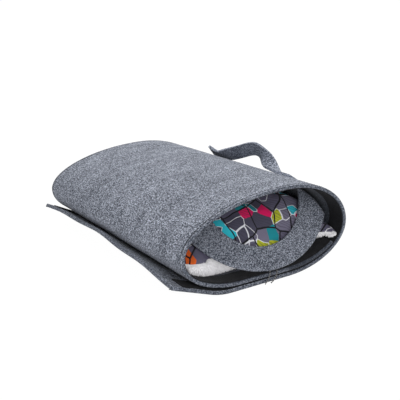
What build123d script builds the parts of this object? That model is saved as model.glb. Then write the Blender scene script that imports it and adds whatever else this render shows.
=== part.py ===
from build123d import *
import math
import os

os.makedirs("parts", exist_ok=True)

# Folding felt bag lying on its side. One long felt sheet is rolled into a flattened tube:
# its outer end lies under the tube as a flap, its inner end lies on that flap inside the tube.
# +X is across, towards the carrying handle. +Y is along the tube, away from the open mouth.
# +Z is up. The origin is in the middle of the flat underside. All sizes are in millimetres.

# Felt sheet and the tube that it is rolled into
felt = 6.0
tube_length = 440.0
half_width = 160.0
waist_z = 68.0
mouth_height = 149.0
rear_height = 134.0
crest_x = 30.0
layer_gap = 3.0
right_round = 120.0
left_round = 110.0
inner_end_angle = -32.0
end_clearance_angle = 3.0

# Flap: the outer end of the sheet, which curls up along its free edge
flap_setback = 20.0
flap_curl_radius = 120.0
flap_curl_length = 112.0
flap_mid_angle = 33.0
flap_tilt_angle = 4.0
flap_cup_angle = 9.0
flap_stations = 5
hinge_angle = -48.0
hinge_gap = 0.3
slit_width = 2.5
slits = [(-70.0, 53.0, 14.0), (-64.5, 39.0, 10.0)]

# Black hook-and-loop tape sewn along both rims of the sheet
tape_width = 30.0
tape_thick = 1.2
tape_margin = 2.0
tape_end_margin = 12.0
seam_gap = 0.1

# Entrance ring: a round felt panel with a hole that leans in the mouth of the tube
panel_thick = 4.0
panel_radius = 160.0
panel_gap = 0.5
ring_lean = 56.0
ring_x = 14.0
ring_foot_out = 4.5
ring_foot_z = 20.4
hole_radius = 94.0
hole_rise = 133.0
roof_reach = 38.0
roof_low_z = 84.0
past_rim = 20.0

# Stuffed cushion: cotton top, plush underside, fibre filling
cushion_gap = 0.3
cushion_top_z = 122.0
cushion_seam_z = 50.0
cushion_rear_gap = 25.0
cushion_front_lean = 51.0
cushion_rear_lean = 70.0
cushion_foot_run = 8.0
cushion_round = 24.0
cushion_base_round = 6.0
cushion_side_gap = 13.0
top_cover = 1.5
base_cover = 4.0

# Carrying handle: one felt strap, sewn flat at both ends, with half a twist between them
strap_width = 25.0
strap_thick = 5.0
strap_seat = 0.5
strap_fold_gap = 0.4
shoulder_angle = 42.0
seat_step = 12.0
front_seat_y = -99.0
front_fold_y = -60.0
rear_fold_y = 47.0
rear_seat_y = 80.5
rear_seat_lift = 3.0
rear_seat_roll = 15.0
tail_lift = 7.5
tail_roll = 23.0

# Two tails of the tie cord at the foot of the entrance ring
cord_diameter = 1.6

front_y = -tube_length / 2
rear_y = tube_length / 2
right_low_x = half_width - right_round
left_low_x = left_round - half_width
flap_low_x = left_low_x - flap_setback
liner = felt + seam_gap + tape_thick
base_top_z = felt + layer_gap
ring_foot_y = front_y - ring_foot_out
lean_run = 1 / math.tan(math.radians(ring_lean))
ring_back = (panel_thick + cushion_gap) / math.sin(math.radians(ring_lean))
cushion_front_y = ring_foot_y + (cushion_seam_z - ring_foot_z) * lean_run + ring_back
cushion_rear_y = rear_y - cushion_rear_gap
cushion_base_z = base_top_z + liner + cushion_gap
far_y = tube_length / 2 + past_rim


def height_at(y):
    """Outside height of the tube, which sags towards its rear rim."""
    return mouth_height + (rear_height - mouth_height) * (y - front_y) / tube_length


def sheet_slice(y, outer, inner):
    """Slice at y of one layer of the rolled sheet, between two depths below its outer face."""
    top = height_at(y) - waist_z
    with BuildSketch(Plane.XZ.offset(-y)) as layer:
        with BuildLine():
            starts = []
            ends = []
            for depth in (outer, inner):
                right_wall = EllipticalCenterArc(
                    (right_low_x, waist_z),
                    half_width - right_low_x - depth,
                    waist_z - depth,
                    start_angle=hinge_angle,
                    arc_size=-hinge_angle,
                )
                EllipticalCenterArc(
                    (crest_x, waist_z), half_width - crest_x - depth, top - depth, start_angle=0
                )
                EllipticalCenterArc(
                    (crest_x, waist_z), half_width + crest_x - depth, top - depth, start_angle=90
                )
                left_low = EllipticalCenterArc(
                    (left_low_x, waist_z),
                    half_width + left_low_x - depth,
                    waist_z - base_top_z - depth,
                    start_angle=180,
                )
                right_low = EllipticalCenterArc(
                    (right_low_x, waist_z),
                    half_width - right_low_x - base_top_z - depth,
                    waist_z - base_top_z - depth,
                    start_angle=270,
                    arc_size=90 + inner_end_angle,
                )
                Line(left_low @ 1, right_low @ 0)
                starts.append(right_wall @ 0)
                ends.append(right_low @ 1)
            Line(starts[0], starts[1])
            Line(ends[0], ends[1])
        make_face()
    return layer.sketch


def hollow_slice(y, depth, end_angle):
    """Slice at y of the space inside the rolled sheet, a depth below its outer face.
    It widens from the inner layer to the outer one at an angle on the right-hand side."""
    top = height_at(y) - waist_z
    with BuildSketch(Plane.XZ.offset(-y)) as hollow:
        with BuildLine():
            right_wall = EllipticalCenterArc(
                (right_low_x, waist_z),
                half_width - right_low_x - depth,
                waist_z - depth,
                start_angle=end_angle,
                arc_size=-end_angle,
            )
            EllipticalCenterArc(
                (crest_x, waist_z), half_width - crest_x - depth, top - depth, start_angle=0
            )
            EllipticalCenterArc(
                (crest_x, waist_z), half_width + crest_x - depth, top - depth, start_angle=90
            )
            left_low = EllipticalCenterArc(
                (left_low_x, waist_z),
                half_width + left_low_x - depth,
                waist_z - base_top_z - depth,
                start_angle=180,
            )
            right_low = EllipticalCenterArc(
                (right_low_x, waist_z),
                half_width - right_low_x - base_top_z - depth,
                waist_z - base_top_z - depth,
                start_angle=270,
                arc_size=90 + end_angle,
            )
            Line(left_low @ 1, right_low @ 0)
            Line(right_low @ 1, right_wall @ 0)
        make_face()
    return hollow.sketch


def panel_slice(y, depth):
    """Slice at y of the largest panel inside the sheet, clear of its inner layer all the way up."""
    top = height_at(y) - waist_z
    with BuildSketch(Plane.XZ.offset(-y)) as panel:
        with BuildLine():
            right_top = EllipticalCenterArc(
                (crest_x, waist_z),
                half_width - crest_x - base_top_z - depth,
                top - depth,
                start_angle=0,
            )
            EllipticalCenterArc(
                (crest_x, waist_z), half_width + crest_x - depth, top - depth, start_angle=90
            )
            left_low = EllipticalCenterArc(
                (left_low_x, waist_z),
                half_width + left_low_x - depth,
                waist_z - base_top_z - depth,
                start_angle=180,
            )
            right_low = EllipticalCenterArc(
                (right_low_x, waist_z),
                half_width - right_low_x - base_top_z - depth,
                waist_z - base_top_z - depth,
                start_angle=270,
            )
            Line(left_low @ 1, right_low @ 0)
        make_face()
    return panel.sketch


def curl_slice(y, low, high, margin):
    """Slice at y of the flap's curled edge, between two heights above its underside."""
    along = y / rear_y
    angle = flap_mid_angle + flap_tilt_angle * along - flap_cup_angle * along**2
    straight = flap_curl_length - flap_curl_radius * math.radians(angle) - margin
    with BuildSketch(Plane.XZ.offset(-y)) as curl:
        with BuildLine():
            starts = []
            ends = []
            for height in (low, high):
                bend = CenterArc(
                    (flap_low_x, flap_curl_radius), flap_curl_radius - height, 270, -angle
                )
                edge = PolarLine(bend @ 1, straight, 180 - angle)
                starts.append(bend @ 0)
                ends.append(edge @ 1)
            Line(starts[0], starts[1])
            Line(ends[0], ends[1])
        make_face()
    return curl.sketch


def base_slice(y, low, high):
    """Slice at y of the flap's flat base and the right-hand bend up to the hinge line."""
    bend_size = 90 + hinge_angle - math.degrees(hinge_gap / (half_width - right_low_x))
    with BuildSketch(Plane.XZ.offset(-y)) as base:
        with BuildLine():
            starts = []
            ends = []
            for height in (low, high):
                bend = EllipticalCenterArc(
                    (right_low_x, waist_z),
                    half_width - right_low_x - height,
                    waist_z - height,
                    start_angle=270,
                    arc_size=bend_size,
                )
                flat = Line((flap_low_x, height), bend @ 0)
                starts.append(flat @ 0)
                ends.append(bend @ 1)
            Line(starts[0], starts[1])
            Line(ends[0], ends[1])
        make_face()
    return base.sketch


def stations(start, stop, count):
    """Evenly spaced places along the tube."""
    return [start + (stop - start) * i / (count - 1) for i in range(count)]


# Tube: right wall, top, left round and inner bottom layer of the felt sheet
with BuildPart() as wrap_body:
    loft([sheet_slice(y, 0, felt) for y in (front_y, rear_y)], ruled=True)
wrap_body.part.label = "wrap_body"
export_step(wrap_body.part, "parts/wrap_body.step")

# Flap: outer bottom layer of the sheet, with its curled free edge and two slits at the near corner
with BuildPart() as wrap_flap:
    extrude(base_slice(rear_y, 0, felt), amount=tube_length)
    loft([curl_slice(y, 0, felt, 0) for y in stations(front_y, rear_y, flap_stations)])
    for slit_x, slit_y, slit_length in slits:
        with BuildSketch(Plane.XY):
            with Locations((flap_low_x + slit_x, front_y + slit_y)):
                Rectangle(slit_width, slit_length)
        extrude(amount=mouth_height, mode=Mode.SUBTRACT)
wrap_flap.part.label = "wrap_flap"
export_step(wrap_flap.part, "parts/wrap_flap.step")

# Tapes: one strip along each rim, in a tube part and a flap part that meet at the hinge line
tape_low = felt + seam_gap
tape_high = tape_low + tape_thick
tape_starts = {"front": front_y + tape_margin, "rear": rear_y - tape_margin - tape_width}
for end_name, tape_y in tape_starts.items():
    tape_ends = (tape_y, tape_y + tape_width)
    with BuildPart() as rim_tape:
        loft([sheet_slice(y, tape_low, tape_high) for y in tape_ends], ruled=True)
    rim_tape.part.label = end_name + "_rim_tape"
    export_step(rim_tape.part, "parts/" + end_name + "_rim_tape.step")
    with BuildPart() as flap_tape:
        extrude(base_slice(tape_y + tape_width, tape_low, tape_high), amount=tape_width)
        loft([curl_slice(y, tape_low, tape_high, tape_end_margin) for y in tape_ends])
    flap_tape.part.label = end_name + "_flap_tape"
    export_step(flap_tape.part, "parts/" + end_name + "_flap_tape.step")

# Entrance ring: a felt disc with a round hole. Its lower part leans in the mouth,
# its upper part is folded back under the roof of the tube.
ring_plane = Plane(
    origin=(ring_x, ring_foot_y, ring_foot_z),
    x_dir=(1, 0, 0),
    z_dir=(0, -math.sin(math.radians(ring_lean)), math.cos(math.radians(ring_lean))),
)
roof_depth = liner + panel_gap
fold_rise = (mouth_height - ring_foot_z) / math.sin(math.radians(ring_lean))
fold_y = ring_foot_y + fold_rise * math.cos(math.radians(ring_lean))
roof_centre_y = roof_reach - panel_radius
roof_hole_y = fold_y + hole_rise - fold_rise

with BuildPart() as leaning_disc:
    with BuildSketch(ring_plane):
        with Locations((0, panel_radius)):
            Circle(panel_radius)
        with Locations((0, hole_rise)):
            Circle(hole_radius, mode=Mode.SUBTRACT)
    extrude(amount=-panel_thick)
    loft(
        [panel_slice(y, roof_depth) for y in (-far_y, far_y)],
        ruled=True,
        mode=Mode.INTERSECT,
    )

with BuildPart() as entrance_ring:
    loft([panel_slice(y, roof_depth) for y in (-far_y, far_y)], ruled=True)
    loft(
        [panel_slice(y, roof_depth + panel_thick) for y in (-far_y, far_y)],
        ruled=True,
        mode=Mode.SUBTRACT,
    )
    with BuildSketch(Plane.XY.offset(roof_low_z)):
        with Locations((ring_x, roof_centre_y)):
            Circle(panel_radius)
        with Locations((ring_x, roof_hole_y)):
            Circle(hole_radius, mode=Mode.SUBTRACT)
    extrude(amount=mouth_height, mode=Mode.INTERSECT)
    with BuildSketch(ring_plane.offset(-panel_thick / 2)):
        Rectangle(4 * panel_radius, 4 * panel_radius)
    extrude(amount=2 * panel_radius, mode=Mode.SUBTRACT)
    add(leaning_disc.part)
entrance_ring.part.label = "entrance_ring"
export_step(entrance_ring.part, "parts/entrance_ring.step")
print("entrance ring solids", len(entrance_ring.part.solids()))


def cushion_block(inset):
    """The cushion's outer shape, or the shape that lies an inset inside it."""
    depth = liner + cushion_gap + inset
    crown = cushion_top_z - cushion_seam_z - inset
    reach = half_width - cushion_side_gap - inset
    front_run = (cushion_top_z - cushion_seam_z) / math.tan(math.radians(cushion_front_lean))
    rear_run = (cushion_top_z - cushion_seam_z) / math.tan(math.radians(cushion_rear_lean))
    end_angle = inner_end_angle + end_clearance_angle + math.degrees(inset / waist_z)
    with BuildPart() as block:
        loft([hollow_slice(y, depth, end_angle) for y in (-far_y, far_y)], ruled=True)
        with BuildSketch(Plane.YZ):
            with BuildLine():
                Polyline(
                    (cushion_front_y + cushion_foot_run, cushion_base_z),
                    (cushion_front_y, cushion_seam_z),
                    (cushion_front_y + front_run, cushion_top_z),
                    (cushion_rear_y - rear_run, cushion_top_z),
                    (cushion_rear_y, cushion_seam_z),
                    (cushion_rear_y, cushion_base_z),
                    close=True,
                )
            side = make_face()
            fillet(side.vertices().group_by(Axis.Y)[-1], cushion_round)
            fillet(side.vertices().sort_by(Axis.Y)[:2], cushion_base_round)
            if inset:
                offset(amount=-inset)
        extrude(amount=half_width, both=True, mode=Mode.INTERSECT)
        with BuildSketch(Plane.XZ.offset(-rear_y)):
            with BuildLine():
                right_crown = EllipticalCenterArc(
                    (crest_x, cushion_seam_z), reach - crest_x, crown, start_angle=0
                )
                left_crown = EllipticalCenterArc(
                    (crest_x, cushion_seam_z), reach + crest_x, crown, start_angle=90
                )
                Polyline(left_crown @ 1, (-reach, 0), (reach, 0), right_crown @ 0)
            make_face()
        extrude(amount=tube_length, mode=Mode.INTERSECT)
    return block.part


# Cushion: top cover and base cover meet at the seam, with the filling inside both
with BuildPart() as cushion_top_cover:
    add(cushion_block(0))
    add(cushion_block(top_cover), mode=Mode.SUBTRACT)
    with BuildSketch(Plane.XY.offset(cushion_seam_z + seam_gap)):
        Rectangle(tube_length, 2 * tube_length)
    extrude(amount=mouth_height, mode=Mode.INTERSECT)
cushion_top_cover.part.label = "cushion_top_cover"
export_step(cushion_top_cover.part, "parts/cushion_top_cover.step")

with BuildPart() as cushion_base_cover:
    add(cushion_block(0))
    add(cushion_block(base_cover), mode=Mode.SUBTRACT)
    with BuildSketch(Plane.XY.offset(cushion_seam_z)):
        Rectangle(tube_length, 2 * tube_length)
    extrude(amount=-cushion_seam_z, mode=Mode.INTERSECT)
cushion_base_cover.part.label = "cushion_base_cover"
export_step(cushion_base_cover.part, "parts/cushion_base_cover.step")

with BuildPart() as cushion_filling:
    add(cushion_block(top_cover + cushion_gap))
    with BuildSketch(Plane.XY.offset(cushion_seam_z + cushion_gap)):
        Rectangle(tube_length, 2 * tube_length)
    extrude(amount=mouth_height, mode=Mode.INTERSECT)
    add(cushion_block(base_cover + cushion_gap))
cushion_filling.part.label = "cushion_filling"
export_step(cushion_filling.part, "parts/cushion_filling.step")


def shoulder(y, lift, roll):
    """Centre and roll of the strap on the tube's right shoulder, lifted and rolled off it."""
    turn = math.radians(shoulder_angle)
    across = half_width - crest_x
    rise = height_at(y) - waist_z
    slope = math.atan2(rise * math.cos(turn), across * math.sin(turn))
    out = strap_seat + strap_thick / 2 + lift
    x = crest_x + across * math.cos(turn) + out * math.sin(slope)
    z = waist_z + rise * math.sin(turn) + out * math.cos(slope)
    return (x, y, z, math.degrees(slope) + roll)


# Handle: places of the strap's centre, with its roll about its own length, which turns it over
# by half a turn. The free stretch is given by y, by how far it stands off the sewn line of the
# shoulder sideways and upwards, and by its roll.
free_stretch = [
    (-86.5, 0.4, 0.8, 208.0),
    (-74.0, 1.8, 3.2, 199.0),
    (-62.0, 4.1, 7.6, 175.0),
    (-50.5, 6.1, 13.8, 138.0),
    (-39.0, 7.5, 20.7, 102.0),
    (-27.0, 8.2, 27.0, 80.0),
    (-14.0, 8.5, 30.1, 76.0),
    (0.0, 8.1, 28.4, 76.0),
    (14.0, 6.4, 24.0, 77.0),
    (28.0, 4.1, 18.7, 78.0),
    (42.0, 2.3, 13.9, 75.0),
    (55.0, 1.1, 9.8, 68.0),
    (68.0, 0.5, 6.2, 56.0),
]
strap_places = [shoulder(front_seat_y - seat_step * i, 0, 180) for i in (2, 1, 0)]
for y, aside, above, roll in free_stretch:
    seat_x, seat_y, seat_z, slope = shoulder(y, 0, 0)
    strap_places.append((seat_x + aside, y, seat_z + above, roll))
for i in (0, 1):
    strap_places.append(shoulder(rear_seat_y + seat_step * i, rear_seat_lift, rear_seat_roll))
for i in (1, 2):
    lift = rear_seat_lift + (tail_lift - rear_seat_lift) * i / 2
    roll = rear_seat_roll + (tail_roll - rear_seat_roll) * i / 2
    strap_places.append(shoulder(rear_seat_y + seat_step * (1 + i), lift, roll))

strap_slices = []
for i, (x, y, z, roll) in enumerate(strap_places):
    before = strap_places[max(i - 1, 0)]
    after = strap_places[min(i + 1, len(strap_places) - 1)]
    along = (Vector(*after[:3]) - Vector(*before[:3])).normalized()
    across = Vector(math.cos(math.radians(roll)), 0, -math.sin(math.radians(roll)))
    across = across - along * across.dot(along)
    with BuildSketch(Plane(origin=(x, y, z), x_dir=across, z_dir=along)) as strap_slice:
        Rectangle(strap_width, strap_thick)
    strap_slices.append(strap_slice.sketch)

with BuildPart() as strap:
    loft(strap_slices)

strap_cuts = {
    "handle_end_front": (front_y, front_fold_y - strap_fold_gap / 2),
    "handle_loop": (front_fold_y + strap_fold_gap / 2, rear_fold_y - strap_fold_gap / 2),
    "handle_end_rear": (rear_fold_y + strap_fold_gap / 2, rear_y),
}
for strap_name, (start_y, end_y) in strap_cuts.items():
    with BuildPart() as strap_piece:
        add(strap.part)
        with BuildSketch(Plane.XZ.offset(-end_y)):
            Rectangle(2 * tube_length, 2 * tube_length)
        extrude(amount=end_y - start_y, mode=Mode.INTERSECT)
    strap_piece.part.label = strap_name
    export_step(strap_piece.part, "parts/" + strap_name + ".step")

# Tie cord: two tails from behind the ring's foot, under it, over the rim and down in front
tie_routes = {
    "tie_cord_left": [
        (5.0, -214.6, 26.4),
        (4.2, -215.4, 20.2),
        (1.5, -220.3, 16.9),
        (-3.0, -225.6, 14.0),
        (-8.6, -227.8, 8.4),
        (-14.0, -228.0, 2.6),
    ],
    "tie_cord_right": [
        (18.5, -214.6, 26.4),
        (17.8, -215.4, 20.2),
        (15.2, -220.3, 16.9),
        (11.0, -225.6, 14.2),
        (6.2, -227.8, 9.2),
        (1.6, -228.2, 4.4),
        (-2.6, -228.0, 2.2),
    ],
}
for cord_name, route in tie_routes.items():
    points = [Vector(*point) for point in route]
    radii = []
    for i in range(1, len(points) - 1):
        run_in = points[i] - points[i - 1]
        run_out = points[i + 1] - points[i]
        half_turn = math.radians(run_in.get_angle(run_out)) / 2
        radii.append(0.45 * min(run_in.length, run_out.length) / math.tan(half_turn))
    with BuildPart() as tie_cord:
        with BuildLine() as tie_line:
            FilletPolyline(*points, radius=radii)
        with BuildSketch(Plane(origin=points[0], z_dir=points[1] - points[0])):
            Circle(cord_diameter / 2)
        sweep(path=tie_line.wire())
    tie_cord.part.label = cord_name
    export_step(tie_cord.part, "parts/" + cord_name + ".step")
    tube_volume = math.pi * cord_diameter**2 / 4 * tie_line.wire().length
    print(cord_name, "length", round(tie_line.wire().length, 1), "radii", [round(r, 1) for r in radii])
    print(cord_name, "volume", round(tie_cord.part.volume, 2), "expected", round(tube_volume, 2))
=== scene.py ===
import math

import bmesh
import bpy
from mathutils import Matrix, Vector, noise


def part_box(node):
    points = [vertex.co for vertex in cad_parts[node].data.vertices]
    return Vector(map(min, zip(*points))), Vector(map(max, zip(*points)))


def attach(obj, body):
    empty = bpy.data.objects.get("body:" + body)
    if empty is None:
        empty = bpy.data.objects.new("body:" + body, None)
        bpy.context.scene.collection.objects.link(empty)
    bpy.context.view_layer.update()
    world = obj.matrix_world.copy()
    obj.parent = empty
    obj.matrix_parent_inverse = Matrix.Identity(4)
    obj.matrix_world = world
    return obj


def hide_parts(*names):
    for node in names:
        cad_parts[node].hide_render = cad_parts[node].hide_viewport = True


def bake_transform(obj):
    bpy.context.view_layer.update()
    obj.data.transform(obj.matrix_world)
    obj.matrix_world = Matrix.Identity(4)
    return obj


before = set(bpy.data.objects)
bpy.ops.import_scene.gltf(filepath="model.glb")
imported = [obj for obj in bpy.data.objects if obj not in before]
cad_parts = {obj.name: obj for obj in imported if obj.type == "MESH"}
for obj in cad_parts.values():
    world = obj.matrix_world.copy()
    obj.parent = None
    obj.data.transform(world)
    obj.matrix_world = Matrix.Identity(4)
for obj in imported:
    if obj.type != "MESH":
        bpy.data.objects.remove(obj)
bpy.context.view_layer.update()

# Felt sheet: one long piece of thick grey felt, rolled into a flattened tube. Its outer end lies
# under the tube as a flap with a curled edge, its inner end lies on that flap inside the tube.
# The flap, the bend at the lower right and the tube are three stretches of the same sheet.
FELT = 0.006
WAIST = 0.068
CREST_X = 0.030
RIGHT_LOW_X = 0.040
LEFT_LOW_X = -0.050
BASE_TOP = FELT + 0.003
REAR_TOP = 0.134
INNER_END = 328.0
FLAP_LOW_X = -0.070
FLAP_RADIUS = 0.120
FLAP_LENGTH = 0.112
FLAP_ANGLE = 33.0
FLAP_TILT = 4.0
FLAP_CUP = 9.0
FLAP_WAVE = 0.0022
FLAP_WAVE_FAST = 31.0
FLAP_WAVE_SLOW = 13.0
FLAP_WAVE_START = 0.8
FREE_EDGE_STEPS = 8
UNEVEN = 0.0007
UNEVEN_ACROSS = 9.0
UNEVEN_ALONG = 7.0
UNEVEN_FADE = 0.03
# Painted shade on the felt sheet: its cut faces a little, its seam grooves more, and its inner
# face inside the tube most.
PAINTED_CUT_SHADE = 0.45
PAINTED_INNER_SHADE = 0.85
PAINTED_GROOVE_SHADE = 0.55
BEND_START = -60.0
BEND_END = -36.0
SHEET_STEP = 0.010
SHARP = math.radians(50)
EDGE_ROUND = 0.0013
SEAM_INSET = 0.0045
SEAM_SPREAD = 0.0012
GROOVE_DEPTH = 0.0009
SLITS = [(-0.140, -0.167, 0.014), (-0.1345, -0.181, 0.010)]
SLIT_WIDTH = 0.0025
SLIT_REACH = 0.1
DARK_FELT = (0.022, 0.030, 0.048)
MID_FELT = (0.20, 0.222, 0.278)
PALE_FELT = (0.72, 0.77, 0.90)

body_low, body_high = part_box("wrap_body")
HALF = body_high.x
FRONT = body_low.y
REAR = body_high.y
seam_rows = (FRONT + SEAM_INSET, REAR - SEAM_INSET)


def tube_rise(y):
    """Height of the tube above its widest line, which drops towards the rear rim."""
    share = (y - FRONT) / (REAR - FRONT)
    return body_high.z + (REAR_TOP - body_high.z) * share - WAIST


def on_ellipse(centre_x, across, rise, depth, degrees):
    """A point of one of the sheet's rounds, at this angle and this far below its outer face."""
    turn = math.radians(degrees)
    x = centre_x + (across - depth) * math.cos(turn)
    return x, WAIST + (rise - depth) * math.sin(turn)


def sheet_point(place, y, depth):
    """A point of the sheet: place says where along it, depth how far below its outer face."""
    stretch, value = place
    angle = math.radians(FLAP_ANGLE + FLAP_TILT * y / REAR - FLAP_CUP * (y / REAR) ** 2)
    if stretch == "free edge":
        reach = value * (FLAP_LENGTH - FLAP_RADIUS * angle)
        fast = math.sin(y * FLAP_WAVE_FAST + FLAP_WAVE_START)
        depth += FLAP_WAVE * value * fast * math.cos(y * FLAP_WAVE_SLOW)
        x = FLAP_LOW_X - (FLAP_RADIUS - depth) * math.sin(angle) - reach * math.cos(angle)
        z = FLAP_RADIUS - (FLAP_RADIUS - depth) * math.cos(angle) + reach * math.sin(angle)
    elif stretch == "curl":
        x = FLAP_LOW_X - (FLAP_RADIUS - depth) * math.sin(angle * value)
        z = FLAP_RADIUS - (FLAP_RADIUS - depth) * math.cos(angle * value)
    elif stretch == "underside":
        x, z = value, depth
    elif stretch == "right":
        x, z = on_ellipse(RIGHT_LOW_X, HALF - RIGHT_LOW_X, WAIST, depth, value)
    elif stretch == "right top":
        x, z = on_ellipse(CREST_X, HALF - CREST_X, tube_rise(y), depth, value)
    elif stretch == "left top":
        x, z = on_ellipse(CREST_X, HALF + CREST_X, tube_rise(y), depth, value)
    elif stretch == "left":
        x, z = on_ellipse(LEFT_LOW_X, HALF + LEFT_LOW_X, WAIST - BASE_TOP, depth, value)
    elif stretch == "inner floor":
        x, z = value, BASE_TOP + depth
    else:
        across = HALF - RIGHT_LOW_X - BASE_TOP
        x, z = on_ellipse(RIGHT_LOW_X, across, WAIST - BASE_TOP, depth, value)
    return Vector((x, y, z))


def places(stretch, start, end, count):
    """Evenly spaced places on one stretch of the sheet, without its last one."""
    return [(stretch, start + (end - start) * i / count) for i in range(count)]


def evenly(start, end, step):
    """Evenly spaced values with both ends, about a step apart."""
    count = max(1, round((end - start) / step))
    return [start + (end - start) * i / count for i in range(count + 1)]


flap_places = places("free edge", 1.0, 0.0, FREE_EDGE_STEPS) + places("curl", 1.0, 0.0, 16)
flap_places += places("underside", FLAP_LOW_X, RIGHT_LOW_X, 22)
flap_places += places("right", -90.0, BEND_START, 8) + [("right", BEND_START)]
bend_places = places("right", BEND_START, BEND_END, 8) + [("right", BEND_END)]
tube_places = places("right", BEND_END, 0.0, 14) + places("right top", 0.0, 90.0, 30)
tube_places += places("left top", 90.0, 180.0, 40) + places("left", 180.0, 270.0, 30)
tube_places += places("inner floor", LEFT_LOW_X, RIGHT_LOW_X, 18)
tube_places += places("inner right", 270.0, INNER_END, 16) + [("inner right", INNER_END)]
stretches = {"flap": flap_places, "bend": bend_places, "tube": tube_places}
open_ends_of = {"flap": (False, True), "bend": (True, True), "tube": (True, False)}


def uneven_point(place, y, depth):
    """A point of the sheet, moved by the slow, shallow unevenness that the rolled felt has."""
    point = sheet_point(place, y, depth)
    if point.z > BASE_TOP + FELT:
        spot = Vector((point.x * UNEVEN_ACROSS, point.y * UNEVEN_ALONG, 0.0))
        fade = min(1.0, (point.z - BASE_TOP - FELT) / UNEVEN_FADE)
        point.z += noise.noise(spot) * UNEVEN * fade
    return point


def new_piece(name, mesh, material):
    """An object of one material, in the scene."""
    piece = bpy.data.objects.new(name, mesh)
    bpy.context.scene.collection.objects.link(piece)
    mesh.materials.clear()
    mesh.materials.append(material)
    return piece


def finish_mesh(bm, name, material, round_edges=0.0, open_ends=()):
    """Turns a bmesh into a smooth-shaded piece whose square edges are rounded off."""
    bmesh.ops.recalc_face_normals(bm, faces=bm.faces)
    weight = bm.edges.layers.float.new("bevel_weight_edge")
    for edge in bm.edges:
        if len(edge.link_faces) == 2 and edge.calc_face_angle() > SHARP:
            if not all(vertex in open_ends for vertex in edge.verts):
                edge[weight] = 1.0
    mesh = bpy.data.meshes.new(name)
    bm.to_mesh(mesh)
    bm.free()
    for polygon in mesh.polygons:
        polygon.use_smooth = True
    mesh.set_sharp_from_angle(angle=SHARP)
    piece = new_piece(name, mesh, material)
    if round_edges:
        bevel = piece.modifiers.new("rounded edges", "BEVEL")
        bevel.limit_method = "WEIGHT"
        bevel.width = round_edges
        bevel.segments = 2
    return piece


def inside_tube(place):
    """True for the stretches of the sheet whose inner face is closed in by the tube."""
    return place[0] not in ("free edge", "curl", "underside")


def layer_piece(name, along, rows, low, high, material, round_edges, start_open, end_open):
    """One stretch of a layer of the rolled sheet, between two depths, as a closed mesh. A face
    attribute says how much painted shade darkens each face: the cut faces a little, the seam
    grooves and the inner face inside the tube more."""
    bm = bmesh.new()
    painted_shade = bm.faces.layers.float.new("painted_shade")
    faces_at = []
    for depth in (low, high):
        grid = []
        for y in rows:
            groove = GROOVE_DEPTH if depth == 0.0 and y in seam_rows else 0.0
            grid.append([bm.verts.new(uneven_point(place, y, depth + groove)) for place in along])
        faces_at.append(grid)
    outer, inner = faces_at
    for i in range(len(rows) - 1):
        in_groove = low == 0.0 and (rows[i] in seam_rows or rows[i + 1] in seam_rows)
        for j in range(len(along) - 1):
            for grid in faces_at:
                face = bm.faces.new(
                    (grid[i][j], grid[i][j + 1], grid[i + 1][j + 1], grid[i + 1][j])
                )
                # Painted shade on the inner face inside the tube, and on the outer faces in the
                # seam grooves.
                if grid is inner and inside_tube(along[j]):
                    face[painted_shade] = PAINTED_INNER_SHADE
                if grid is outer and in_groove:
                    face[painted_shade] = PAINTED_GROOVE_SHADE
    # Painted shade on the cut faces; the inner end's rims inside the tube get the inner face's
    # darker shade.
    for i in (0, -1):
        for j in range(len(along) - 1):
            rim = bm.faces.new((outer[i][j], outer[i][j + 1], inner[i][j + 1], inner[i][j]))
            rim[painted_shade] = PAINTED_INNER_SHADE if along[j][0] == "inner right" else PAINTED_CUT_SHADE
    for j in (0, -1):
        for i in range(len(rows) - 1):
            rim = bm.faces.new((outer[i][j], outer[i + 1][j], inner[i + 1][j], inner[i][j]))
            rim[painted_shade] = PAINTED_CUT_SHADE
    open_ends = set()
    for j, is_open in ((0, start_open), (-1, end_open)):
        if is_open:
            open_ends |= {grid[i][j] for grid in faces_at for i in range(len(rows))}
    return finish_mesh(bm, name, material, round_edges, open_ends)


def flat_length(along):
    """Length of the sheet's middle line over these places, halfway along the tube."""
    points = [sheet_point(place, 0.0, FELT / 2) for place in along]
    return sum((b - a).length for a, b in zip(points, points[1:]))


class Nodes:
    """Short way to add nodes and links to a material or a group."""

    def __init__(self, tree):
        self.tree = tree

    def add(self, kind, values=None, **settings):
        node = self.tree.nodes.new(kind)
        for key, value in settings.items():
            setattr(node, key, value)
        for key, value in (values or {}).items():
            if isinstance(value, bpy.types.NodeSocket):
                self.tree.links.new(value, node.inputs[key])
            else:
                node.inputs[key].default_value = value
        return node

    def place(self):
        """Coordinates fixed to the piece."""
        return self.add("ShaderNodeTexCoord").outputs["Object"]

    def noise(self, place, scale, **more):
        """A noise; more may give its detail, roughness and distortion."""
        values = {key.capitalize(): value for key, value in more.items()}
        values = {"Vector": place, "Scale": scale, **values}
        return self.add("ShaderNodeTexNoise", values).outputs[0]

    def math(self, operation, a, b=0.0, clamp=False):
        node = self.add("ShaderNodeMath", {0: a, 1: b}, operation=operation, use_clamp=clamp)
        return node.outputs[0]

    def weighted(self, a, a_share, b, b_share):
        """The sum of two values, each with its own weight."""
        a_part = self.math("MULTIPLY", a, a_share)
        return self.math("ADD", a_part, self.math("MULTIPLY", b, b_share))

    def ramp(self, factor, stops, interpolation="LINEAR"):
        node = self.add("ShaderNodeValToRGB", {0: factor})
        node.color_ramp.interpolation = interpolation
        while len(node.color_ramp.elements) < len(stops):
            node.color_ramp.elements.new(0.5)
        for element, (position, colour) in zip(node.color_ramp.elements, stops):
            element.position = position
            element.color = (*colour, 1.0)
        return node.outputs[0]

    def mix(self, factor, a, b, blend="MIX"):
        node = self.add("ShaderNodeMix", data_type="RGBA", blend_type=blend)
        for socket, value in ((0, factor), (6, a), (7, b)):
            if isinstance(value, bpy.types.NodeSocket):
                self.tree.links.new(value, node.inputs[socket])
            elif socket == 0:
                node.inputs[socket].default_value = value
            else:
                node.inputs[socket].default_value = (*value, 1.0)
        return node.outputs[2]


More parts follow.
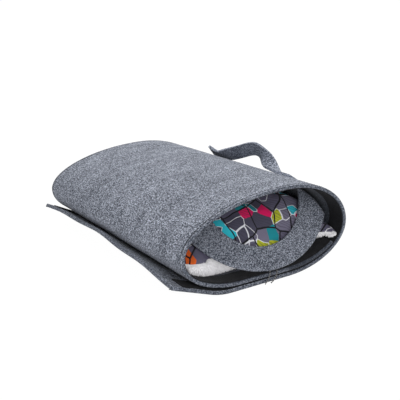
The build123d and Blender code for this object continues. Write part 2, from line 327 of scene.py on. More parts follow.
def new_group(name, kind, inputs, outputs):
    """An empty node group with named sockets; returns it, its nodes and its inputs."""
    tree = bpy.data.node_groups.new(name, kind)
    for way, sockets in (("INPUT", inputs), ("OUTPUT", outputs)):
        for title, socket in sockets:
            tree.interface.new_socket(title, in_out=way, socket_type="NodeSocket" + socket)
    nodes = Nodes(tree)
    return tree, nodes, nodes.add("NodeGroupInput").outputs


def new_material(name, roughness, sheen=0.0):
    """A material with its Principled BSDF; returns it, its nodes and the shader."""
    material = bpy.data.materials.new(name)
    material.use_nodes = True
    nodes = Nodes(material.node_tree)
    shader = material.node_tree.nodes["Principled BSDF"]
    shader.inputs["Roughness"].default_value = roughness
    shader.inputs["Sheen Weight"].default_value = sheen
    shader.inputs["Sheen Roughness"].default_value = 0.6
    shader.inputs["Specular IOR Level"].default_value = 0.2
    return material, nodes, shader


def connect(nodes, shader, colour, height, strength, distance):
    """Colour and bump of a finish."""
    bump = nodes.add(
        "ShaderNodeBump", {"Strength": strength, "Distance": distance, "Height": height}
    )
    nodes.tree.links.new(colour, shader.inputs["Base Color"])
    nodes.tree.links.new(bump.outputs[0], shader.inputs["Normal"])


def fibre_group():
    """Pressed wool: pale and dark fibres matted together, and the height of the matted surface."""
    tree, nodes, given = new_group(
        "felt fibres",
        "ShaderNodeTree",
        [("Fleck Scale", "Float"), ("Contrast", "Float"), ("Patches", "Float")],
        [("Shade", "Float"), ("Height", "Float")],
    )
    place = nodes.place()
    fleck = nodes.noise(place, given["Fleck Scale"], detail=3.0, roughness=0.65, distortion=0.4)
    strands = []
    for stretch, turn in (((1.0, 0.22, 1.0), 0.6), ((0.25, 1.0, 0.5), -0.5)):
        laid = nodes.add(
            "ShaderNodeMapping", {"Vector": place, "Scale": stretch, "Rotation": (0.0, 0.0, turn)}
        ).outputs[0]
        strand_scale = nodes.math("MULTIPLY", given["Fleck Scale"], 1.7)
        strands.append(nodes.noise(laid, strand_scale, detail=2.0, distortion=1.2))
    strand = nodes.math("MAXIMUM", strands[0], strands[1])
    drawn = nodes.add("ShaderNodeMapping", {"Vector": place, "Scale": (0.5, 1.5, 0.5)}).outputs[0]
    cloud = nodes.noise(drawn, 30.0, detail=4.0)
    matted = nodes.weighted(fleck, 0.6, strand, 0.4)
    spread = nodes.math("MULTIPLY", nodes.math("SUBTRACT", matted, 0.525), given["Contrast"])
    patch = nodes.math("MULTIPLY", nodes.math("SUBTRACT", cloud, 0.5), given["Patches"])
    shade = nodes.math("ADD", nodes.math("ADD", spread, patch), 0.5, clamp=True)
    leave = nodes.add("NodeGroupOutput")
    tree.links.new(shade, leave.inputs["Shade"])
    tree.links.new(matted, leave.inputs["Height"])
    return tree


felt_fibres = fibre_group()


def felt_material(name, tone, contrast, patches, fleck_scale):
    """Grey felt; tone is how light it is, and an attribute of painted shade darkens it in places.
    """
    material, nodes, shader = new_material(name, 0.95, 0.15)
    fibres = nodes.add("ShaderNodeGroup", node_tree=felt_fibres)
    fibres.inputs["Fleck Scale"].default_value = fleck_scale
    fibres.inputs["Contrast"].default_value = contrast
    fibres.inputs["Patches"].default_value = patches
    stops = [
        (at, tuple(tone * part for part in colour))
        for at, colour in ((0.0, DARK_FELT), (0.5, MID_FELT), (1.0, PALE_FELT))
    ]
    colour = nodes.ramp(fibres.outputs["Shade"], stops)
    # Painted shade: the attribute pulls the colour towards the darkest felt colour wherever shade
    # is painted.
    painted_shade = nodes.add("ShaderNodeAttribute", attribute_name="painted_shade").outputs["Fac"]
    colour = nodes.mix(painted_shade, colour, stops[0][1])
    connect(nodes, shader, colour, fibres.outputs["Height"], 0.6, 0.0012)
    return material


sheet_felt = felt_material("grey felt", 0.94, 6.5, 0.5, 510.0)
felt_rows = evenly(FRONT, REAR, SHEET_STEP)
for seam_y in seam_rows:
    felt_rows += [seam_y - SEAM_SPREAD, seam_y, seam_y + SEAM_SPREAD]
felt_rows.sort()
sheet_pieces = {}
for stretch, along in stretches.items():
    ends = open_ends_of[stretch]
    piece = layer_piece(
        "felt_" + stretch, along, felt_rows, 0.0, FELT, sheet_felt, EDGE_ROUND, *ends
    )
    sheet_pieces[stretch] = piece

slit_tool = bmesh.new()
for slit_x, slit_y, slit_length in SLITS:
    cut = bmesh.ops.create_cube(slit_tool, size=1.0)["verts"]
    bmesh.ops.scale(slit_tool, vec=(SLIT_WIDTH, slit_length, SLIT_REACH), verts=cut)
    bmesh.ops.translate(slit_tool, vec=(slit_x, slit_y, 0.0), verts=cut)
cutter = finish_mesh(slit_tool, "slit_cutter", sheet_felt)
slit_cut = sheet_pieces["flap"].modifiers.new("slits", "BOOLEAN")
slit_cut.object = cutter
slit_cut.solver = "EXACT"


def apply_modifiers(piece):
    """Bakes a piece's modifiers into its mesh."""
    view = bpy.context.evaluated_depsgraph_get()
    mesh = bpy.data.meshes.new_from_object(piece.evaluated_get(view))
    piece.modifiers.clear()
    old = piece.data
    piece.data = mesh
    mesh.name = piece.name
    bpy.data.meshes.remove(old)


for piece in sheet_pieces.values():
    apply_modifiers(piece)
bpy.data.objects.remove(cutter)


def across_bend(piece):
    """A piece on the bend, between the flap and the tube: its placement is baked into its mesh,
    and it is put on no body.
    """
    start = sheet_point(("right", BEND_START), 0.0, FELT / 2)
    end = sheet_point(("right", BEND_END), 0.0, FELT / 2)
    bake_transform(piece)


def finish_tree(tree, nodes, points, shape, rotation, size, given):
    """Puts a shape on every point, as one plain mesh with its material."""
    placed = nodes.add(
        "GeometryNodeInstanceOnPoints",
        {"Points": points, "Instance": shape, "Rotation": rotation, "Scale": size},
    ).outputs[0]
    plain = nodes.add("GeometryNodeRealizeInstances", {0: placed}).outputs[0]
    painted = nodes.add(
        "GeometryNodeSetMaterial", {"Geometry": plain, "Material": given["Material"]}
    ).outputs[0]
    tree.links.new(painted, nodes.add("NodeGroupOutput").inputs[0])
    return tree


def stitch_tree():
    """A row of stitches along every line of a mesh of edges."""
    tree, nodes, given = new_group(
        "stitch row",
        "GeometryNodeTree",
        [("Line", "Geometry"), ("Pitch", "Float"), ("Stitch Length", "Float"),
         ("Thread Radius", "Float"), ("Material", "Material")],
        [("Stitches", "Geometry")],
    )
    line = nodes.add("GeometryNodeMeshToCurve", {0: given["Line"]}).outputs[0]
    spots = nodes.add(
        "GeometryNodeCurveToPoints", {"Curve": line, "Length": given["Pitch"]}, mode="LENGTH"
    ).outputs
    bead = nodes.add("GeometryNodeMeshUVSphere", {"Segments": 6, "Rings": 4}).outputs[0]
    reach = nodes.math("MULTIPLY", given["Stitch Length"], 0.5)
    size = nodes.add(
        "ShaderNodeCombineXYZ", {0: given["Thread Radius"], 1: given["Thread Radius"], 2: reach}
    ).outputs[0]
    return finish_tree(tree, nodes, spots["Points"], bead, spots["Rotation"], size, given)


def grow(name, mesh, tree, values):
    """The plain mesh that a Geometry Nodes tree makes from a mesh."""
    piece = bpy.data.objects.new(name, mesh)
    bpy.context.scene.collection.objects.link(piece)
    grown = piece.modifiers.new("grown", "NODES")
    grown.node_group = tree
    for item in tree.interface.items_tree:
        if item.name in values:
            grown[item.identifier] = values[item.name]
    apply_modifiers(piece)
    for polygon in piece.data.polygons:
        polygon.material_index = 0
    piece.data.materials.clear()
    piece.data.materials.append(values["Material"])
    return piece


def stitch_rows(name, lines, pitch, length, thread_radius):
    """Stitches along lines of points, as one plain mesh."""
    points = [tuple(point) for line in lines for point in line]
    edges = []
    first = 0
    for line in lines:
        edges += [(first + i, first + i + 1) for i in range(len(line) - 1)]
        first += len(line)
    mesh = bpy.data.meshes.new(name)
    mesh.from_pydata(points, edges, [])
    values = {"Pitch": pitch, "Stitch Length": length, "Thread Radius": thread_radius}
    return grow(name, mesh, stitch_row, {**values, "Material": dark_thread})


def thread_material():
    material, nodes, shader = new_material("dark thread", 0.7, 0.1)
    twist = nodes.noise(nodes.place(), 1500.0)
    colour = nodes.ramp(twist, [(0.35, (0.008, 0.009, 0.012)), (0.7, (0.05, 0.052, 0.06))])
    connect(nodes, shader, colour, twist, 0.4, 0.0003)
    return material


STITCH_PITCH = 0.0055
STITCH_LENGTH = 0.0040
THREAD_RADIUS = 0.0006
THREAD_DEPTH = 0.0002
stitch_row = stitch_tree()
dark_thread = thread_material()
for stretch, along in stretches.items():
    rows = [[uneven_point(place, seam_y, THREAD_DEPTH) for place in along] for seam_y in seam_rows]
    rim_stitches = stitch_rows(
        "rim_stitches_" + stretch, rows, STITCH_PITCH, STITCH_LENGTH, THREAD_RADIUS
    )
    if stretch == "bend":
        across_bend(rim_stitches)
    else:
        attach(rim_stitches, stretch)

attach(sheet_pieces["flap"], "flap")
across_bend(sheet_pieces["bend"])
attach(sheet_pieces["tube"], "tube")
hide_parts("wrap_flap")
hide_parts("wrap_body")

# Black hook-and-loop tape, sewn on the inner face of the felt along both rims, round the whole
# sheet. Its loops are matt and fuzzy. It bends with the felt, so it has the same three stretches.
SEAM_GAP = 0.0001
TAPE_LOW = FELT + SEAM_GAP
TAPE_HIGH = TAPE_LOW + 0.0012
TAPE_END_MARGIN = 0.012
TAPE_ROUND = 0.0003
TAPE_STEP = 0.005


def tape_material():
    material, nodes, shader = new_material("black loop tape", 0.9, 0.05)
    place = nodes.place()
    loops = nodes.add("ShaderNodeTexVoronoi", {"Vector": place, "Scale": 900.0})
    loops = loops.outputs["Distance"]
    shade = nodes.math("MULTIPLY", loops, nodes.noise(place, 90.0))
    colour = nodes.ramp(shade, [(0.05, (0.003, 0.003, 0.004)), (0.6, (0.019, 0.02, 0.025))])
    connect(nodes, shader, colour, loops, 0.6, 0.0008)
    return material


black_tape = tape_material()
margin = TAPE_END_MARGIN / (FLAP_LENGTH - FLAP_RADIUS * math.radians(FLAP_ANGLE))
taped_flap = places("free edge", 1.0 - margin, 0.0, FREE_EDGE_STEPS - 1)
taped_flap += flap_places[FREE_EDGE_STEPS:]
taped_stretches = {**stretches, "flap": taped_flap}
tape_nodes = {"flap": "_flap_tape", "tube": "_rim_tape"}
for rim in ("front", "rear"):
    tape_low, tape_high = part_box(rim + "_rim_tape")
    tape_rows = evenly(tape_low.y, tape_high.y, TAPE_STEP)
    for stretch, along in taped_stretches.items():
        name = rim + "_tape_" + stretch
        ends = open_ends_of[stretch]
        tape = layer_piece(
            name, along, tape_rows, TAPE_LOW, TAPE_HIGH, black_tape, TAPE_ROUND, *ends
        )
        apply_modifiers(tape)
        if stretch == "bend":
            across_bend(tape)
        else:
            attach(tape, stretch)
            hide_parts(rim + tape_nodes[stretch])

for stretch, along in stretches.items():
    flat_length(along)

# Entrance ring: a round panel of the same felt with a large hole. Its lower part leans in the
# mouth, its upper part is folded back under the roof of the tube. The cut edges are soft.
RING_VOXEL = 0.0018
# Painted shade on the ring: darker towards its left and its top, where the roof of the tube shades
# it.
RING_PAINTED_SHADE_MOST = 0.55
RING_PAINTED_SHADE_LEFT = 0.4
RING_PAINTED_SHADE_TOP = 0.3
RING_LEFT_PART = (0.03, 0.12)
RING_TOP_PART = (0.07, 0.12)
# Painted shade: the ring is the sheet's felt painted darker as a whole, for the shade in the mouth
# of the tube.
ring_felt_painted_darker = felt_material("ring felt", 0.8, 6.0, 0.4, 560.0)


def rounded_copy(name, nodes, voxel, material, smoothing):
    """A copy of CAD solids, joined and given soft edges."""
    bm = bmesh.new()
    for node in nodes:
        bm.from_mesh(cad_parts[node].data)
    bmesh.ops.remove_doubles(bm, verts=bm.verts, dist=1e-6)
    mesh = bpy.data.meshes.new(name)
    bm.to_mesh(mesh)
    bm.free()
    piece = new_piece(name, mesh, material)
    remesh = piece.modifiers.new("even mesh", "REMESH")
    remesh.mode = "VOXEL"
    remesh.voxel_size = voxel
    remesh.use_smooth_shade = True
    smooth = piece.modifiers.new("soft edges", "SMOOTH")
    smooth.iterations = smoothing
    apply_modifiers(piece)
    piece.data.materials.clear()
    piece.data.materials.append(material)
    return piece


def share_between(value, low, high):
    """0 below low, 1 above high, and a straight rise between them."""
    return max(0.0, min(1.0, (value - low) / (high - low)))


ring = rounded_copy("felt_entrance_ring", ["entrance_ring"], RING_VOXEL, ring_felt_painted_darker, 3)
# Painted shade: the ring's vertices are darkened to the left and towards the top, under the roof
# of the tube.
ring_painted_shade = ring.data.attributes.new("painted_shade", "FLOAT", "POINT")
for vertex in ring.data.vertices:
    to_left = share_between(-vertex.co.x, *RING_LEFT_PART)
    to_top = share_between(vertex.co.z, *RING_TOP_PART)
    shade = RING_PAINTED_SHADE_LEFT * to_left + RING_PAINTED_SHADE_TOP * to_top
    ring_painted_shade.data[vertex.index].value = min(RING_PAINTED_SHADE_MOST, shade)
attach(ring, "ring")
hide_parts("entrance_ring")

# Cushion: a stuffed pillow with a printed cotton top and a white plush underside, sewn together
# round its waist. The filling swells the covers, and the seam pulls them in.
CUSHION_VOXEL = 0.005
TOP_OUTSET = -0.0010
BASE_OUTSET = 0.0020
BASE_FULL_BELOW = 0.004
TOP_FULL_ABOVE = 0.006
FILLING_INSET = 0.008
RING_X = 0.014
RING_LEAN = math.radians(56.0)
RING_THICK = 0.004
RING_CLEAR = 0.0006
PANEL_RADIUS = 0.160
LEFT_BULGE = 0.015
RIGHT_BULGE = 0.023
CORNER_SPREAD = 0.030
CORNER_DROP = 0.003
DROP_FROM = 0.10
DROP_TO = 0.14
WALL_MARGIN = 0.0020
WALL_HIGHEST = 0.98
RIM_INSET = 0.004
SEAM_DIP = -0.0015
SEAM_RISE_LEFT = 0.008
SEAM_RISE_RIGHT = 0.001
SWELL = 0.0045
SEAM_REACH = 0.004
SIDE_GAP = 0.013
BEHIND_RING = 0.002
BULGE_FROM = 0.0005
BULGE_TO = 0.009
BULGE_FRONT = 0.022
BULGE_REAR = 0.060
BULGE_MIDDLE = 0.004
BULGE_HALF_HEIGHT = 0.034
BULGE_FALL = 0.75
BULGE_FALL_FULL = 0.25
INNER_LAYER_GAP = 0.001
INNER_LAYER_LOW = 0.037
INNER_LAYER_HIGH = 0.047
PRESSURE = 4.0
CLOTH_FRAMES = 20
TOP_THICK = 0.0012
BASE_THICK = 0.0025
SEAM_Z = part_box("cushion_top_cover")[0].z
PRINT_WARP = 0.014
PRINT_TILT = (-0.52, 0.0, 0.0)


def print_material():
    """Angular patches of colour on a slate ground, with thick dark outlines, thin white lines
    and fine pencil hatching."""
    material, nodes, shader = new_material("printed cotton", 0.8, 0.1)
    place = nodes.place()
    warp = nodes.add("ShaderNodeTexNoise", {"Vector": place, "Scale": 30.0, "Detail": 0.0})
    warp = warp.outputs["Color"]
    shift = nodes.add("ShaderNodeVectorMath", {0: warp, 1: (0.5, 0.5, 0.5)}, operation="SUBTRACT")
    scaled = nodes.add(
        "ShaderNodeVectorMath", {0: shift.outputs[0], "Scale": PRINT_WARP}, operation="SCALE"
    )
    bent = nodes.add("ShaderNodeVectorMath", {0: place, 1: scaled.outputs[0]}).outputs[0]
    flat = nodes.add("ShaderNodeMapping", {"Vector": bent, "Rotation": PRINT_TILT}).outputs[0]
    patchwork = {}
    for name, scale in (("outline", 23.0), ("shard", 50.0)):
        cells = {"Vector": flat, "Scale": scale}
        patchwork[name] = nodes.add(
            "ShaderNodeTexVoronoi", cells, voronoi_dimensions="2D"
        ).outputs["Color"]
        patchwork[name + " edge"] = nodes.add(
            "ShaderNodeTexVoronoi", cells, voronoi_dimensions="2D", feature="DISTANCE_TO_EDGE"
        ).outputs[0]
    pick = nodes.add("ShaderNodeSeparateColor", {0: patchwork["shard"]}).outputs
    bright = nodes.ramp(
        pick[0],
        [
            (0.0, (0.40, 0.28, 0.35)),
            (0.14, (0.03, 0.62, 0.76)),
            (0.34, (0.92, 0.15, 0.02)),
            (0.48, (0.58, 0.62, 0.03)),
            (0.64, (0.01, 0.30, 0.36)),
            (0.76, (0.88, 0.004, 0.14)),
            (0.90, (0.03, 0.62, 0.76)),
        ],
        "CONSTANT",
    )
    ground_pick = nodes.add("ShaderNodeSeparateColor", {0: patchwork["outline"]}).outputs[1]
    ground = nodes.ramp(
        ground_pick,
        [(0.0, (0.14, 0.13, 0.20)), (0.5, (0.21, 0.195, 0.28)), (0.8, (0.08, 0.075, 0.12))],
        "CONSTANT",
    )
    is_ground = nodes.math("LESS_THAN", pick[2], 0.58)
    colour = nodes.mix(is_ground, bright, ground)
    pencil = nodes.add(
        "ShaderNodeTexWave",
        {"Vector": place, "Scale": 75.0, "Distortion": 7.0, "Detail": 1.0, "Detail Scale": 0.6},
        bands_direction="DIAGONAL",
    ).outputs[1]
    hatching = nodes.math("MULTIPLY", nodes.math("GREATER_THAN", pencil, 0.80), 0.45)
    hatched = nodes.math("MULTIPLY", hatching, nodes.math("GREATER_THAN", pick[1], 0.35))
    colour = nodes.mix(hatched, colour, (0.05, 0.048, 0.07))
    thin = nodes.math("LESS_THAN", patchwork["shard edge"], 0.06)
    white = nodes.math("MULTIPLY", thin, nodes.math("GREATER_THAN", pick[1], 0.62))
    colour = nodes.mix(white, colour, (0.93, 0.94, 1.0))
    outline = nodes.math("LESS_THAN", patchwork["outline edge"], 0.029)
    colour = nodes.mix(outline, colour, (0.010, 0.010, 0.014))
    crease = nodes.noise(place, 22.0, distortion=1.0)
    weave = nodes.noise(place, 1400.0)
    connect(nodes, shader, colour, nodes.weighted(crease, 4.0, weave, 0.4), 0.5, 0.001)
    return material


def plush_material():
    material, nodes, shader = new_material("white plush", 0.95, 0.5)
    place = nodes.place()
    tuft = nodes.noise(place, 260.0, detail=4.0, distortion=1.5)
    shade = nodes.weighted(tuft, 0.6, nodes.noise(place, 60.0), 0.4)
    colour = nodes.ramp(shade, [(0.3, (0.80, 0.785, 0.82)), (0.6, (0.95, 0.945, 0.96))])
    connect(nodes, shader, colour, shade, 0.8, 0.003)
    # Painted light: a faint glow lifts the plush, standing in for light that shines through its
    # pile.
    shader.inputs["Emission Color"].default_value = (1.0, 0.99, 1.0, 1.0)
    shader.inputs["Emission Strength"].default_value = 0.12
    return material


cushion_print = print_material()
plush = plush_material()
pillow = rounded_copy("pillow", ["cushion_filling"], CUSHION_VOXEL, cushion_print, 6)


def smoothly(value, low, high):
    """0 below low, 1 above high, and a smooth rise between them."""
    share = share_between(value, low, high)
    return share * share * (3.0 - 2.0 * share)


for vertex in pillow.data.vertices:
    base_share = 1.0 - smoothly(vertex.co.z, SEAM_Z - BASE_FULL_BELOW, SEAM_Z + TOP_FULL_ABOVE)
    vertex.co += vertex.normal * (TOP_OUTSET + (BASE_OUTSET - TOP_OUTSET) * base_share)
start_points = [vertex.co.copy() for vertex in pillow.data.vertices]
start_normals = [vertex.normal.copy() for vertex in pillow.data.vertices]
pinned = pillow.vertex_groups.new(name="seam")
held = [v.index for v in pillow.data.vertices if abs(v.co.z - SEAM_Z) < SEAM_REACH]
pinned.add(held, 1.0, "REPLACE")
cloth = pillow.modifiers.new("cloth", "CLOTH")
cloth.settings.use_pressure = True
cloth.settings.uniform_pressure_force = PRESSURE
cloth.settings.effector_weights.gravity = 0.0
cloth.settings.vertex_group_mass = "seam"
cloth.settings.quality = 5
cloth.collision_settings.use_collision = False
cloth.point_cache.frame_start = 1
cloth.point_cache.frame_end = CLOTH_FRAMES
for step in range(1, CLOTH_FRAMES + 1):
    bpy.context.scene.frame_set(step)
apply_modifiers(pillow)
bpy.context.scene.frame_set(1)
pillow.data.materials.clear()

ring_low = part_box("entrance_ring")[0]
RING_FOOT = Vector((RING_X, ring_low.y, ring_low.z))
RING_NORMAL = Vector((0.0, -math.sin(RING_LEAN), math.cos(RING_LEAN)))
RING_SLOPE = Vector((0.0, math.cos(RING_LEAN), math.sin(RING_LEAN)))


def wall_x(side, y, z, margin):
    """The tube's inner face at the right (side 1) or the left (-1), with its tape and a margin.
    Low on the right the sheet's inner end lies in the way as well."""
    depth = FELT + TAPE_HIGH - TAPE_LOW + margin
    if z > WAIST:
        centre, rise = CREST_X, tube_rise(y)
    elif side > 0:
        centre, rise = RIGHT_LOW_X, WAIST
        inner_layer = 1.0 - smoothly(z, INNER_LAYER_LOW, INNER_LAYER_HIGH)
        depth += (BASE_TOP + INNER_LAYER_GAP) * inner_layer
    else:
        centre, rise = LEFT_LOW_X, WAIST - BASE_TOP
    share = min(WALL_HIGHEST, abs(z - WAIST) / (rise - depth))
    return centre + side * (HALF - side * centre - depth) * math.sqrt(1.0 - share**2)


def settle(point):
    """Corners beside the ring bulge out past it; behind the ring the pillow stays back."""
    away = point - RING_FOOT
    up_slope = away.dot(RING_SLOPE)
    from_centre = math.hypot(away.x, up_slope - PANEL_RADIUS)
    beside = smoothly(from_centre, PANEL_RADIUS + BULGE_FROM, PANEL_RADIUS + BULGE_TO)
    near_front = 1.0 - smoothly(point.y, FRONT + BULGE_FRONT, FRONT + BULGE_REAR)
    full_base = point.x > 0.0 and point.z < SEAM_Z
    fall = BULGE_FALL_FULL if full_base else BULGE_FALL
    from_middle = abs(point.z - SEAM_Z - BULGE_MIDDLE)
    near_seam = 1.0 - fall * smoothly(from_middle, BULGE_MIDDLE, BULGE_HALF_HEIGHT)
    corner = beside * near_front * near_seam
    point.y -= (LEFT_BULGE if point.x < 0.0 else RIGHT_BULGE) * corner
    if point.x > 0.0:
        point.x += CORNER_SPREAD * corner
        point.z -= CORNER_DROP * corner * smoothly(point.x, DROP_FROM, DROP_TO)
        wall = wall_x(1, point.y, point.z, WALL_MARGIN)
        if corner > 0.0 and point.x > wall:
            point.x = wall
    point.y = max(point.y, FRONT + RIM_INSET)
    over = away.dot(RING_NORMAL) + RING_THICK + RING_CLEAR
    if over > 0.0 and from_centre < PANEL_RADIUS + BEHIND_RING:
        point -= RING_NORMAL * over
    return point


for vertex, start in zip(pillow.data.vertices, start_points):
    moved = vertex.co - start
    if moved.length > SWELL:
        moved *= SWELL / moved.length
    vertex.co = settle(start + moved)


def seam_lift(x):
    """The seam rides up towards the two sides of the cushion, more on the left."""
    rise = SEAM_RISE_LEFT if x < 0.0 else SEAM_RISE_RIGHT
    return SEAM_DIP + rise * min(1.0, abs(x) / (HALF - SIDE_GAP)) ** 2


def pillow_half(name, keep_above, material, thickness, node_name):
    """The part of the swollen pillow above or below its seam, as a cover of cloth."""
    bm = bmesh.new()
    bm.from_mesh(pillow.data)
    for vertex in bm.verts:
        vertex.co.z -= seam_lift(vertex.co.x)
    bmesh.ops.bisect_plane(
        bm,
        geom=bm.verts[:] + bm.edges[:] + bm.faces[:],
        plane_co=(0, 0, SEAM_Z),
        plane_no=(0, 0, 1),
        clear_outer=not keep_above,
        clear_inner=keep_above,
    )
    for vertex in bm.verts:
        vertex.co.z += seam_lift(vertex.co.x)
    mesh = bpy.data.meshes.new(name)
    bm.to_mesh(mesh)
    bm.free()
    for polygon in mesh.polygons:
        polygon.use_smooth = True
    half = new_piece(name, mesh, material)
    subdivision = half.modifiers.new("smooth cloth", "SUBSURF")
    subdivision.levels = 1
    subdivision.render_levels = 1
    solid = half.modifiers.new("cloth thickness", "SOLIDIFY")
    solid.thickness = thickness
    solid.offset = -1.0
    apply_modifiers(half)
    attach(half, "cushion")
    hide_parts(node_name)
    return half


cotton_top = pillow_half(
    "printed_cushion_top", True, cushion_print, TOP_THICK, "cushion_top_cover"
)
plush_base = pillow_half(
    "plush_cushion_base", False, plush, BASE_THICK, "cushion_base_cover"
)


def pile_tree():
    """Short, soft tufts all over a cloth, laid downwards and every way a little."""
    tree, nodes, given = new_group(
        "plush pile",
        "GeometryNodeTree",
        [("Cloth", "Geometry"), ("Density", "Float"), ("Tuft Length", "Float"),
         ("Tuft Radius", "Float"), ("Lean", "Vector"), ("Material", "Material")],
        [("Pile", "Geometry")],
    )
    roots = nodes.add(
        "GeometryNodeDistributePointsOnFaces",
        {"Mesh": given["Cloth"], "Density": given["Density"], "Seed": PILE_SEED},
    ).outputs
    astray = nodes.add(
        "FunctionNodeRandomValue",
        {0: (-0.5, -0.5, -0.5), 1: (0.5, 0.5, 0.5), "Seed": PILE_SEED},
        data_type="FLOAT_VECTOR",
    ).outputs[0]
    leant = nodes.add("ShaderNodeVectorMath", {0: roots["Normal"], 1: given["Lean"]}).outputs[0]
    way_up = nodes.add("ShaderNodeVectorMath", {0: leant, 1: astray}).outputs[0]
    turn = nodes.add("FunctionNodeAlignRotationToVector", {"Vector": way_up}, axis="Z").outputs[0]
    tuft = nodes.add(
        "GeometryNodeMeshCone",
        {"Vertices": 3, "Radius Top": 0.0, "Radius Bottom": 1.0, "Depth": 1.0},
        fill_type="NONE",
    ).outputs[0]
    size = nodes.add(
        "ShaderNodeCombineXYZ",
        {0: given["Tuft Radius"], 1: given["Tuft Radius"], 2: given["Tuft Length"]},
    ).outputs[0]
    return finish_tree(tree, nodes, roots["Points"], tuft, turn, size, given)


PILE_SEED = 7
PILE_DENSITY = 420000.0
PILE_LOW = 0.0215
PILE_BELOW_SEAM = 0.001
PILE_OFF_RING = 0.012
PILE_OFF_RIGHT_WALL = 0.005
TUFT_LENGTH = 0.0042
TUFT_RADIUS = 0.0009
TUFT_LEAN = (0.0, 0.0, -0.5)


def pile_grows(face):
    """False above the seam, behind the ring, on the underside and where a tuft meets a wall."""
    centre = face.calc_center_median()
    if centre.z - seam_lift(centre.x) > SEAM_Z - PILE_BELOW_SEAM or centre.z < PILE_LOW:
        return False
    away = centre - RING_FOOT
    from_centre = math.hypot(away.x, away.dot(RING_SLOPE) - PANEL_RADIUS)
    if from_centre < PANEL_RADIUS + BEHIND_RING and away.dot(RING_NORMAL) > -PILE_OFF_RING:
        return False
    tip = centre + face.normal * TUFT_LENGTH
    left = wall_x(-1, tip.y, tip.z, 0.0)
    return left < tip.x < wall_x(1, tip.y, tip.z, PILE_OFF_RIGHT_WALL)


def pile_ground():
    """The faces of the pillow that carry tufts."""
    bm = bmesh.new()
    bm.from_mesh(pillow.data)
    bm.normal_update()
    bald = [face for face in bm.faces if not pile_grows(face)]
    bmesh.ops.delete(bm, geom=bald, context="FACES")
    mesh = bpy.data.meshes.new("plush_pile")
    bm.to_mesh(mesh)
    bm.free()
    return mesh


def filling_material():
    material, nodes, shader = new_material("fibre filling", 1.0)
    fibres = nodes.noise(nodes.place(), 300.0, detail=4.0)
    colour = nodes.ramp(fibres, [(0.3, (0.7, 0.7, 0.7)), (0.7, (0.9, 0.9, 0.9))])
    connect(nodes, shader, colour, fibres, 0.5, 0.002)
    return material


pile_values = {"Density": PILE_DENSITY, "Tuft Length": TUFT_LENGTH, "Tuft Radius": TUFT_RADIUS}
pile_values.update({"Lean": TUFT_LEAN, "Material": plush})
pile = grow("plush_pile", pile_ground(), pile_tree(), pile_values)
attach(pile, "cushion")
pillow.name = "fibre_filling"
pillow.data.materials.clear()
pillow.data.materials.append(filling_material())
for vertex, start, normal in zip(pillow.data.vertices, start_points, start_normals):
    vertex.co = start - normal * FILLING_INSET
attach(pillow, "cushion")
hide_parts("cushion_filling")

# Strap: one band of thick felt, sewn flat to the right shoulder at both ends, with half a turn
# between them and a short tail that curls up behind the far seam.
STRAP_WIDTH = 0.025
STRAP_THICK = 0.005
STRAP_SEAT = 0.0005
SHOULDER = math.radians(42.0)
FRONT_SEATS = (-0.123, -0.111, -0.099)
REAR_SEATS = (
    (0.0805, 0.003, 15.0), (0.0925, 0.003, 15.0), (0.1045, 0.00475, 18.0), (0.1165, 0.0064, 21.0),
)
FREE_STRETCH = [
    (-0.0865, 0.0004, 0.0008, 208.0),
    (-0.0740, 0.0018, 0.0032, 199.0),
    (-0.0620, 0.0041, 0.0076, 175.0),
    (-0.0505, 0.0061, 0.0138, 138.0),
    (-0.0390, 0.0075, 0.0207, 102.0),
    (-0.0270, 0.0082, 0.0270, 80.0),
    (-0.0140, 0.0085, 0.0301, 76.0),
    (0.0000, 0.0081, 0.0284, 76.0),
    (0.0140, 0.0064, 0.0240, 77.0),
    (0.0280, 0.0041, 0.0187, 78.0),
    (0.0420, 0.0023, 0.0139, 75.0),
    (0.0550, 0.0011, 0.0098, 68.0),
    (0.0680, 0.0005, 0.0062, 56.0),
]
CREST_STATION = len(FRONT_SEATS) + 6  # the loop's highest place
STATION_STEPS = 5
CORNER = 0.0008
# Painted shade: one side of the strap is darkened towards its rear, where that side faces away
# from the light.
PAINTED_SHADE_SIDE = 2
PAINTED_SHADE_SIDE_MOST = 0.55
PAINTED_SHADE_FROM = -0.045
PAINTED_SHADE_TO = -0.020


def shoulder_place(y, lift, roll):
    """Centre and roll of the strap where it lies on the shoulder of the tube."""
    across = HALF - CREST_X
    slope = math.atan2(tube_rise(y) * math.cos(SHOULDER), across * math.sin(SHOULDER))
    out = STRAP_SEAT + STRAP_THICK / 2 + lift
    x = CREST_X + across * math.cos(SHOULDER) + out * math.sin(slope)
    z = WAIST + tube_rise(y) * math.sin(SHOULDER) + out * math.cos(slope)
    return Vector((x, y, z)), math.degrees(slope) + roll


strap_places = [shoulder_place(y, 0.0, 180.0) for y in FRONT_SEATS]
for y, aside, above, roll in FREE_STRETCH:
    seat = shoulder_place(y, 0.0, 0.0)[0]
    strap_places.append((seat + Vector((aside, 0.0, above)), roll))
strap_places += [shoulder_place(y, lift, roll) for y, lift, roll in REAR_SEATS]


def between(values, i, t):
    """Smooth curve through neighbouring values, from value i to the next one."""
    a, b, c, d = (values[max(0, min(len(values) - 1, i + k))] for k in (-1, 0, 1, 2))
    return (b * 2 + (c - a) * t + (a * 2 - b * 5 + c * 4 - d) * t**2
            + (b * 3 - a - c * 3 + d) * t**3) * 0.5


def strap_line(first, last):
    """Centres and rolls of the strap's rings between two of its places."""
    centres = [place for place, roll in strap_places]
    rolls = [roll for place, roll in strap_places]
    rings = []
    for i in range(first, last):
        for step in range(STATION_STEPS):
            t = step / STATION_STEPS
            rings.append((between(centres, i, t), between(rolls, i, t)))
    rings.append(strap_places[last])
    return rings


